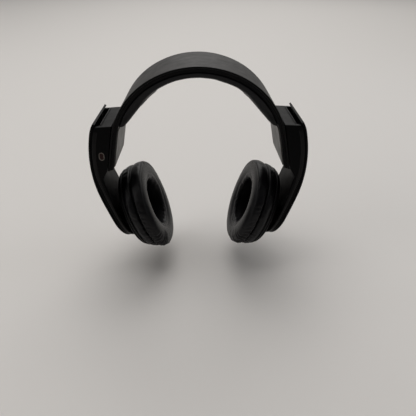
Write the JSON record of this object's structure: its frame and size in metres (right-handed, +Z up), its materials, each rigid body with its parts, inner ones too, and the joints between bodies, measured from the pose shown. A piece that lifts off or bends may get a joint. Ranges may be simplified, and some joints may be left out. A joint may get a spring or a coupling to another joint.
{
  "type": "gaming headset",
  "caption": "Over-ear wireless gaming headset: broad padded arch, arms that slide on its ends, and round padded ear cups on two-way pivots.",
  "frame": {"origin": "middle of the headband cushion's underside, where the crown of the head touches it", "axes": "+Z up, +X towards the wearer's left ear, -Y the way the wearer faces"},
  "size_m": [0.2132, 0.095, 0.2041],
  "materials": {
    "band_satin": "satin charcoal moulded plastic",
    "black_plastic": "fine-textured black",
    "arm_plastic": "semi-matt black",
    "cover_plastic": "semi-matt black",
    "grey_plastic": "dark grey",
    "leatherette": "black artificial leather, fine grain",
    "scrim": "black open-weave cloth",
    "spring_steel": "blued strip",
    "steel": "bright",
    "dark_screw": "blackened",
    "ribbon": "amber polyimide",
    "board": "green circuit board",
    "battery_wrap": "blue shrink wrap",
    "light_pipe": "milky clear",
    "pale_trim": "pale grey-beige print",
    "aluminium": "plain",
    "cone_film": "thin film"
  },
  "bodies": {
    "headband": {"headband_shell": "band_satin", "headband_frame": "black_plastic", "headband_spring": "spring_steel", "headband_cable": "ribbon", "headband_cushion": "leatherette", "tongue_plate_left": "band_satin", "tongue_plate_right": "band_satin", "slider_rail_left": "steel", "slider_rail_right": "steel", "rail_screws_left": "dark_screw", "rail_screws_right": "dark_screw"},
    "arm_left": {"arm_housing_left": "arm_plastic", "arm_cover_left": "cover_plastic", "arm_screws_left": "dark_screw", "main_board": "board", "audio_jack": "black_plastic"},
    "arm_right": {"arm_housing_right": "arm_plastic", "arm_cover_right": "cover_plastic", "arm_screws_right": "dark_screw", "battery": "battery_wrap", "charge_port": "steel", "status_light": "light_pipe", "mic_ring": "pale_trim", "mic_capsule": "aluminium"},
    "power_slider": {"power_slider": "grey_plastic"},
    "volume_rocker": {"volume_rocker": "grey_plastic"},
    "mute_button": {"mute_button": "grey_plastic"},
    "pivot_left": {"pivot_block_left": "grey_plastic", "swivel_pins_left": "steel"},
    "cup_left": {"cup_housing_left": "black_plastic", "speaker_baffle_left": "black_plastic", "driver_basket_left": "grey_plastic", "driver_magnet_left": "steel", "driver_cone_left": "cone_film", "pad_ring_left": "grey_plastic", "ear_pad_left": "leatherette", "ear_scrim_left": "scrim", "cup_screws_left": "dark_screw", "tilt_pin_left": "steel"},
    "pivot_right": {"pivot_block_right": "grey_plastic", "swivel_pins_right": "steel"},
    "cup_right": {"cup_housing_right": "black_plastic", "speaker_baffle_right": "black_plastic", "driver_basket_right": "grey_plastic", "driver_magnet_right": "steel", "driver_cone_right": "cone_film", "pad_ring_right": "grey_plastic", "ear_pad_right": "leatherette", "ear_scrim_right": "scrim", "cup_screws_right": "dark_screw", "tilt_pin_right": "steel"}
  },
  "joints": [
    {"name": "arm_left_adjust", "type": "slide", "parent": "headband", "child": "arm_left", "axis": [0.2079, 0, -0.9781], "range_m": [0, 0.018]},
    {"name": "cup_left_swivel", "type": "hinge", "parent": "arm_left", "child": "pivot_left", "pos_m": [0.0788, 0, -0.15276], "axis": [0.342, 0, 0.9397], "range_deg": [-3.5, 3.5]},
    {"name": "cup_left_tilt", "type": "hinge", "parent": "pivot_left", "child": "cup_left", "pos_m": [0.0788, 0, -0.15276], "axis": [0, 1, 0], "range_deg": [-1, 6]},
    {"name": "arm_right_adjust", "type": "slide", "parent": "headband", "child": "arm_right", "axis": [-0.2079, 0, -0.9781], "range_m": [0, 0.018]},
    {"name": "cup_right_swivel", "type": "hinge", "parent": "arm_right", "child": "pivot_right", "pos_m": [-0.0788, 0, -0.15276], "axis": [-0.342, 0, 0.9397], "range_deg": [-3.5, 3.5]},
    {"name": "cup_right_tilt", "type": "hinge", "parent": "pivot_right", "child": "cup_right", "pos_m": [-0.0788, 0, -0.15276], "axis": [0, -1, 0], "range_deg": [-1, 6]},
    {"name": "power_switch", "type": "slide", "parent": "arm_left", "child": "power_slider", "axis": [0, -0.0523, -0.9986], "range_m": [0, 0.004]},
    {"name": "volume_rock", "type": "hinge", "parent": "arm_left", "child": "volume_rocker", "pos_m": [0.096, 0.02459, -0.07181], "axis": [1, 0, 0], "range_deg": [-4, 4], "stiffness_Nm_per_rad": 0.05},
    {"name": "mute_press", "type": "slide", "parent": "arm_right", "child": "mute_button", "axis": [0, -0.9986, 0.0523], "range_m": [0, 0.0008], "stiffness_N_per_m": 600}
  ]
}
